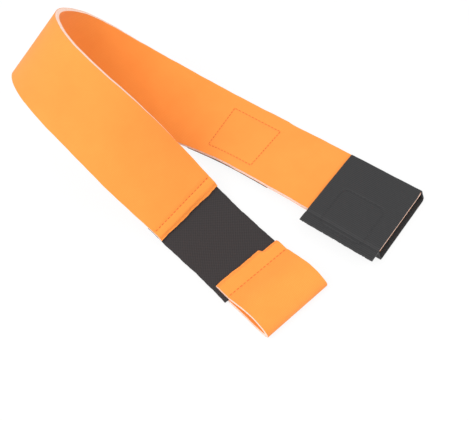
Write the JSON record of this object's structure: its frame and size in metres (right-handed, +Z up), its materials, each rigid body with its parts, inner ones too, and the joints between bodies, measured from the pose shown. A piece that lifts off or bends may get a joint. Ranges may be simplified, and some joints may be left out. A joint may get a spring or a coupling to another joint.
{
  "type": "wrap tourniquet strap",
  "caption": "Neoprene wrap strap folded back on itself, with a hook tape section and padded finger loop at one end and a webbing keeper sleeve at the other.",
  "frame": {"origin": "middle of the keeper sleeve's underside, on the surface the strap lies on", "axes": "+X along the far leg towards the keeper's open mouth, +Z up from the surface, +Y across the far leg to the sleeve's folded side"},
  "size_m": [0.244, 0.1326, 0.1013],
  "materials": {
    "knit_jersey": "matt orange knitted facing",
    "neoprene_foam": "matt cream closed-cell foam",
    "woven_tape": "matt black woven backing",
    "moulded_hooks": "black hook field",
    "pile_fabric": "black brushed pile",
    "ribbed_webbing": "black cross-ribbed webbing",
    "orange_thread": "sewing thread, orange",
    "black_thread": "sewing thread, black"
  },
  "bodies": {
    "far_leg": {"far_outer_jersey": "knit_jersey", "far_foam_core": "neoprene_foam", "far_inner_jersey": "knit_jersey", "pile_patch": "pile_fabric", "patch_stitch": "orange_thread"},
    "bend": {"bend_outer_jersey": "knit_jersey", "bend_foam_core": "neoprene_foam", "bend_inner_jersey": "knit_jersey"},
    "near_leg": {"near_outer_jersey": "knit_jersey", "near_foam_core": "neoprene_foam", "near_inner_jersey": "knit_jersey", "tape_lap": "woven_tape", "lap_stitch": "orange_thread"},
    "hook_tape": {"tape_backing": "woven_tape", "hook_field": "moulded_hooks"},
    "pull_loop": {"loop_outer_jersey": "knit_jersey", "loop_foam_core": "neoprene_foam", "loop_inner_jersey": "knit_jersey", "tape_root": "woven_tape", "loop_stitch": "orange_thread"},
    "keeper": {"end_outer_jersey": "knit_jersey", "end_foam_core": "neoprene_foam", "end_inner_jersey": "knit_jersey", "keeper_ribbon": "ribbed_webbing", "keeper_box_stitch": "black_thread", "keeper_flap_stitch": "black_thread"}
  },
  "joints": [
    {"name": "bend_far_hinge", "type": "hinge", "parent": "far_leg", "child": "bend", "pos_m": [-0.20902, -0.04133, 0.06392], "axis": [-0.295, -0.7151, -0.6338], "range_deg": [-3, 75], "stiffness_Nm_per_rad": 0.8, "deforming": ["bend_outer_jersey", "bend_foam_core", "bend_inner_jersey"]},
    {"name": "bend_near_hinge", "type": "hinge", "parent": "bend", "child": "near_leg", "pos_m": [-0.19087, -0.06741, 0.08359], "axis": [-0.3261, -0.6818, -0.6548], "range_deg": [-3, 75], "stiffness_Nm_per_rad": 0.8},
    {"name": "lap_hinge", "type": "hinge", "parent": "near_leg", "child": "hook_tape", "pos_m": [-0.08376, -0.06958, 0.00696], "axis": [-0.1075, -0.99, -0.0915], "range_deg": [-60, 60], "stiffness_Nm_per_rad": 0.4},
    {"name": "loop_hinge", "type": "hinge", "parent": "hook_tape", "child": "pull_loop", "pos_m": [-0.03659, -0.07738, 0.0037], "axis": [-0.1984, -0.9801, 0], "range_deg": [-60, 60], "stiffness_Nm_per_rad": 0.4},
    {"name": "keeper_hinge", "type": "hinge", "parent": "far_leg", "child": "keeper", "pos_m": [-0.02587, 0, 0.007], "axis": [0, -1, 0], "range_deg": [-30, 30], "stiffness_Nm_per_rad": 0.4}
  ],
  "couplings": [
    {"joint": "bend_near_hinge", "follows": "bend_far_hinge", "ratio": 1}
  ]
}
